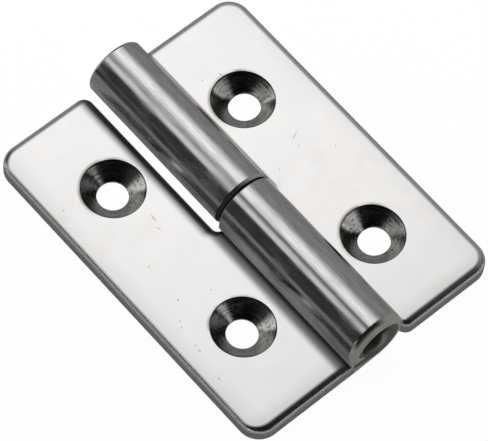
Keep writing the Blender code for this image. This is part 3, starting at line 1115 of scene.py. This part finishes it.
        rim_turn = turn * shares(self.rim_steps)
        rim = self.countersink_radius + tangent - self.rim_round * np.sin(rim_turn)
        rim_height = self.sheet - self.rim_round * (1 - np.cos(rim_turn))
        cone = mix(rim[-1], edge, shares(self.cone_steps))
        cone_height = self.sheet - (self.countersink_radius - cone) / slope
        wall, wall_height = edge[None], mix(cone_height[-1], 0.0, shares(self.wall_steps))

        angle = np.unwrap(np.arctan2(direction[:, 1], direction[:, 0]))
        for radius, height in ((rim, rim_height), (cone, cone_height), (wall, wall_height)):
            radius, height = np.broadcast_arrays(radius, height, np.empty((1, len(edge))))[:2]
            plan = centre + radius[..., None] * direction
            grid = np.concatenate([plan, height[..., None]], axis=-1)
            travelled = np.broadcast_to(angle * self.countersink_radius, radius.shape)
            shell.add(self.placed(grid), np.stack([radius, travelled], axis=-1), Region.CONE)

        rings = ease(np.linspace(self.ring_start, 1.0, self.ring_steps))
        share = np.concatenate([[0.0, self.ring_collar], rings])[:, None, None]
        for border, inner, height, region in (
            (front, rim[0] * np.ones(len(edge)), self.sheet, Region.FACE),
            (back, edge, 0.0, Region.BACK),
        ):
            start = np.insert(centre + inner[:, None] * direction, 2, height, axis=1)
            grid = mix(start, border, share)
            shell.add(self.placed(grid), grid[..., :2] - (0.0, self.middle), region)


@dataclass(frozen=True)
class Turned:
    """A piece turned round the pin axis from a profile of (radius, place along Y) pairs."""

    name: str
    body: str
    slot: str
    region: Region
    axis_height: float
    profile: tuple[tuple[float, float], ...]
    round_steps: int = 128
    run_steps: int = 4

    def shell(self) -> Shell:
        """Carry the profile round the axis: across and up are the radius times the angle's
        cosine and sine."""
        corners = np.array(self.profile)
        share = np.linspace(0.0, 1.0, self.run_steps, endpoint=False)[:, None]
        runs = [mix(start, end, share) for start, end in zip(corners, corners[1:])]
        radius, place = np.concatenate([*runs, corners[-1:]]).T[:, :, None]
        angle = np.linspace(0.0, 2.0 * math.pi, self.round_steps + 1)
        across, up = radius * np.cos(angle), self.axis_height + radius * np.sin(angle)
        along = np.broadcast_to(place, across.shape)
        shell = Shell(self.name)
        flat = np.stack(np.broadcast_arrays(radius + place, self.profile[1][0] * angle), axis=-1)
        shell.add(np.stack([across, along, up], axis=-1), flat, self.region)
        return shell


# The hinge


PIN_RADIUS = 0.0019
RUNNING_CLEARANCE = 0.0001
PRESS_CLEARANCE = 0.00005
JOINT_OFFSET = 0.00018
WASHER_THICKNESS = 0.00035
WASHER_INSET = 0.0002
FACE_CLEARANCE = 0.00005
KNUCKLE_GAP = WASHER_THICKNESS + 2 * FACE_CLEARANCE

FIXED_LEAF = Leaf(
    name="fixed_leaf_sheet",
    body="fixed",
    reach=0.01988,
    side_round=0.0006,
    slot_round=0.0012,
    middle=0.00002,
    inner_end=JOINT_OFFSET - KNUCKLE_GAP / 2,
    outer_end=0.02553,
    hole_line=0.0109,
    hole_shift=0.00003,
    drill_offset=(0.0, 0.0),
    outer_rim=Rounding(0.00115, 0.0005),
    inner_rim=Rounding(0.00006, 0.00006),
    inner_region=Region.EDGE,
    turned=False,
)
LIFT_LEAF = Leaf(
    name="lift_leaf_sheet",
    body="lift",
    reach=0.0201,
    side_round=0.0011,
    slot_round=0.0007,
    middle=0.00015,
    inner_end=-(JOINT_OFFSET + KNUCKLE_GAP / 2),
    outer_end=0.02564,
    hole_line=0.0105,
    hole_shift=0.0003,
    drill_offset=(-0.0003, 0.00024),
    outer_rim=Rounding(0.0003, 0.0002),
    inner_rim=Rounding(0.00045, 0.0002),
    inner_region=Region.RIM,
    turned=True,
)


class Hinge:
    """The whole hinge: two leaves, the pin and the washer."""

    def __init__(self) -> None:
        """Make the finishes. The leaves' backs are as raw as the undersides of the knuckles."""
        knuckle = RolledKnuckle(
            Region.KNUCKLE, (0.74, 0.745, 0.76), 0.15, depth=0.8e-6,
            streak_across=3000.0, streak_along=420.0, streak_tone=0.74,
        )
        finishes = (
            PolishedFace(Region.FACE, (0.84, 0.83, 0.82), 0.24),
            knuckle,
            replace(knuckle, region=Region.BACK),
            GrainedSteel(Region.BORE, (0.30, 0.30, 0.27), 0.42),
            ShearedEdge(Region.EDGE, (0.52, 0.52, 0.50), 0.50, metallic=0.15),
            FiledRim(Region.RIM, (0.90, 0.89, 0.81), 0.50, metallic=0.0, specular=0.15),
            TurnedCone(
                Region.CONE, (0.70, 0.70, 0.68), 0.18, depth=1.6e-5, across_scale=4000.0,
                along_scale=150.0, streak_across=5000.0, streak_along=500.0, streak_tone=0.55,
            ),
            # Dark grey: painted shade for the pin's end, seen deep in the bore.
            GrainedSteel(Region.PIN, (0.14, 0.14, 0.13), 0.55),
            # Nearly black and dull: the washer's colour is painted shade for the dark gap between the
            # knuckles.
            Finish(Region.WASHER, (0.02, 0.02, 0.022), 0.7, metallic=0.0, specular=0.1),
        )
        self.finishes = {finish.region: finish.material() for finish in finishes}

    def pin(self) -> Turned:
        """The pin: held in the fixed knuckle, running in the lift knuckle."""
        bore = FIXED_LEAF.bore_radius
        held = bore - PRESS_CLEARANCE
        end_chamfer, recess, step_inset = 0.0003, 0.0020, 0.0004
        nose_length, nose_depth, shortfall = 0.0012, 0.0006, 0.0021
        low = -FIXED_LEAF.outer_end + recess
        high = LIFT_LEAF.outer_end - shortfall
        step = FIXED_LEAF.inner_end - step_inset
        profile = (
            (0.0, low), (held - end_chamfer, low), (held, low + end_chamfer),
            (held, step - (held - PIN_RADIUS)), (PIN_RADIUS, step), (PIN_RADIUS, high - nose_length),
            (PIN_RADIUS - nose_depth, high), (0.0, high),
        )
        return Turned("turned_pin", "fixed", "pin_steel", Region.PIN, FIXED_LEAF.radius, profile)

    def washer(self) -> Turned:
        """The washer between the two knuckles."""
        inner, outer = PIN_RADIUS + RUNNING_CLEARANCE, FIXED_LEAF.radius - WASHER_INSET
        low = FIXED_LEAF.inner_end + FACE_CLEARANCE
        high = low + WASHER_THICKNESS
        profile = ((inner, low), (outer, low), (outer, high), (inner, high), (inner, low))
        return Turned("spacer_washer", "spacer", "washer_black", Region.WASHER, FIXED_LEAF.radius, profile)

    def build(self) -> None:
        """Build every piece and put it in place of its solid."""
        for leaf, node in ((FIXED_LEAF, "fixed_leaf"), (LIFT_LEAF, "lift_leaf")):
            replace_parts(leaf.shell().build(self.finishes, leaf.body, "polished_steel"), node)
        for turned, node in ((self.pin(), "pin"), (self.washer(), "washer")):
            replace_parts(turned.shell().build(self.finishes, turned.body, turned.slot), node)


# The studio


@dataclass(frozen=True)
class PhotoCamera:
    """The camera at the photograph's viewing angle."""

    place: tuple[float, float, float] = (-0.16704, -0.15206, 0.42000)
    azimuth: float = math.radians(-48.57)
    elevation: float = math.radians(61.87)
    roll: float = math.radians(8.435)
    focal_pixels: float = 3746.9
    sensor_width: float = 36.0
    centre_column: float = 267.34
    centre_row: float = 230.03
    clip: Span = (0.01, 10.0)

    def build(self) -> None:
        """Make the camera and look through it."""
        data = bpy.data.cameras.new("photo_camera")
        data.sensor_width = self.sensor_width
        data.lens = self.focal_pixels / IMAGE_WIDTH * self.sensor_width
        data.shift_x = ((IMAGE_WIDTH - 1) / 2 - self.centre_column) / IMAGE_WIDTH
        data.shift_y = (self.centre_row - (IMAGE_HEIGHT - 1) / 2) / IMAGE_WIDTH
        data.clip_start, data.clip_end = self.clip
        camera = new_object("photo_camera", data)
        sin_a, cos_a = math.sin(self.azimuth), math.cos(self.azimuth)
        back = Vector((
            sin_a * math.cos(self.elevation), -cos_a * math.cos(self.elevation), math.sin(self.elevation),
        ))
        level = Vector((cos_a, sin_a, 0.0))
        upright = back.cross(level)
        right = math.cos(self.roll) * level + math.sin(self.roll) * upright
        camera.matrix_world = Matrix.Translation(self.place) @ Matrix(
            (right, back.cross(right), back)
        ).transposed().to_4x4()
        bpy.context.scene.camera = camera


@dataclass(frozen=True)
class Glow:
    """A bright field of the light tent: its strength, and the spans that it rises over.

    A field may also be a band beside a middle line, which fades with the distance from it.
    """

    strength: float
    across: tuple[Span, ...] = ()
    along: tuple[Span, ...] = ()
    middle: float = 0.0
    band: tuple[Span, ...] = ()

    def light(self, x: Value, y: Value) -> Value:
        """How bright the field is at each place."""
        rises = [x.rise(*span) for span in self.across] + [y.rise(*span) for span in self.along]
        rises += [abs(x - self.middle).rise(*span) for span in self.band]
        return reduce(mul, rises) * self.strength


@dataclass(frozen=True)
class Studio:
    """A pale floor under a light tent, in front of a white room."""

    tent_height: float = 0.32
    tent_size: float = 2.4
    floor_drop: float = 0.0002
    floor_size: float = 6.0
    floor_glow: float = 1.12
    floor_share: float = 0.86
    floor_in_metal: float = 0.22
    floor_colour: Colour = (0.8, 0.8, 0.8)
    dim: float = 0.3

    roof_depth: tuple[Span, ...] = ((-0.06, 0.10), (0.62, 0.22))
    roof_plateau: tuple[Span, ...] = ((-0.25, -0.20), (0.50, 0.20))
    roof_peak: tuple[Span, ...] = ((-0.03, 0.11), (0.38, 0.11))
    least_glow: float = 0.004
    left_wall: Glow = Glow(0.8, across=((-1.0, -1.19),), along=((0.1, -0.2),))
    near_wall: Glow = Glow(1.25, across=((0.25, 0.05),), along=((-1.0, -1.19),))

    def fields(self) -> tuple[Glow, ...]:
        """The roof's fields: a plateau and two peaks over the hinge, the room's glow, two windows."""
        return (
            Glow(0.38, across=self.roof_plateau, along=self.roof_depth),
            Glow(0.80, across=self.roof_peak, along=self.roof_depth),
            Glow(0.40, along=self.roof_depth, middle=-0.14, band=((0.085, 0.020),)),
            Glow(0.036, along=((-0.1, 0.2),)),
            Glow(0.225, across=((0.1, 0.4),), along=((-0.45, -0.1),)),
            Glow(1.0, along=((0.30, 0.75),), middle=-0.72, band=((0.30, 0.12),)),
            Glow(0.9, across=((0.05, 0.30),), along=((-0.55, -0.72), (-1.00, -0.85))),
        )

    def staged(
        self, name: str, corners: Array, faces: list[tuple], material: bpy.types.Material
    ) -> bpy.types.Object:
        """Make a piece of the stage.

        Args:
            name: Its name.
            corners: Its corners.
            faces: Its faces, as corner numbers.
            material: What it is made of.

        Returns:
            The new object.
        """
        mesh = bpy.data.meshes.new(name)
        mesh.from_pydata(corners, [], faces)
        mesh.materials.append(material)
        piece = new_object(name, mesh)
        return piece

    def square(self, size: float, height: float) -> Array:
        """Corners of a level square, anticlockwise."""
        corners = ((-1.0, -1.0), (1.0, -1.0), (1.0, 1.0), (-1.0, 1.0))
        return np.array([(x * size / 2, y * size / 2, height) for x, y in corners])

    def seen(self, graph: Graph) -> Value:
        """1 for what the camera sees, by itself, in metal or through glass, and 0 for light."""
        path = graph.node("LightPath").outputs
        by_eye, in_metal, through = (
            Value(graph, path[kind]) for kind in ("Is Camera Ray", "Is Glossy Ray", "Is Transmission Ray")
        )
        return by_eye.math("MAXIMUM", in_metal).math("MAXIMUM", through)

    def floor(self) -> None:
        """A pale floor that the camera sees as white, with a faint shadow of the hinge.

        Metal shows it greyer, as the photograph does.
        """
        material, graph = new_material("pale_floor")
        plain = graph.node("BsdfDiffuse", None, {"Color": rgba(self.floor_colour)})
        by_eye = Value(graph, graph.node("LightPath").outputs["Is Camera Ray"])
        strength = self.floor_in_metal + by_eye * (self.floor_glow - self.floor_in_metal)
        glow = graph.node("Emission", None, {"Color": WHITE, "Strength": strength})
        share = self.seen(graph) * self.floor_share
        shaders = {0: share, 1: plain.outputs[0], 2: glow.outputs[0]}
        graph.show(graph.node("MixShader", None, shaders))
        self.staged("pale_floor", self.square(self.floor_size, -self.floor_drop), [(0, 1, 2, 3)], material)

    def tent(self) -> None:
        """The light tent: bright over the hinge, with two windows and two low bright walls."""
        material, graph = new_material("light_tent")
        x, y, _ = graph.split(graph.place())
        roof = sum(glow.light(x, y) for glow in self.fields())
        walls = self.left_wall.light(x, y).math("MAXIMUM", self.near_wall.light(x, y))
        strength = roof + walls + self.least_glow
        graph.show(graph.node("Emission", None, {"Color": WHITE, "Strength": strength}))
        corners = np.concatenate([
            self.square(self.tent_size, -self.floor_drop), self.square(self.tent_size, self.tent_height),
        ])
        sides = [(side, (side + 1) % 4, (side + 1) % 4 + 4, side + 4) for side in range(4)]
        tent = self.staged("light_tent", corners, [*sides, (4, 5, 6, 7)], material)
        tent.visible_camera = False

    def room(self) -> None:
        """A white room."""
        world = bpy.data.worlds.new("room")
        world.use_nodes = True
        graph = Graph(world.node_tree)
        strength = self.dim + self.seen(graph) * (1.0 - self.dim)
        glow = graph.node("Background", None, {"Color": WHITE, "Strength": strength})
        graph.show(glow, "OutputWorld")
        bpy.context.scene.world = world

    def build(self) -> None:
        """Make the floor, the tent and the room."""
        self.floor()
        self.tent()
        self.room()
        bpy.context.scene.view_settings.view_transform = "Standard"


def main() -> None:
    """Build the camera, the hinge and the studio."""
    logging.basicConfig(level=logging.INFO, format="%(name)s %(message)s")
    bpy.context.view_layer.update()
    PhotoCamera().build()
    Hinge().build()
    Studio().build()


if __name__ == "__main__":
    main()
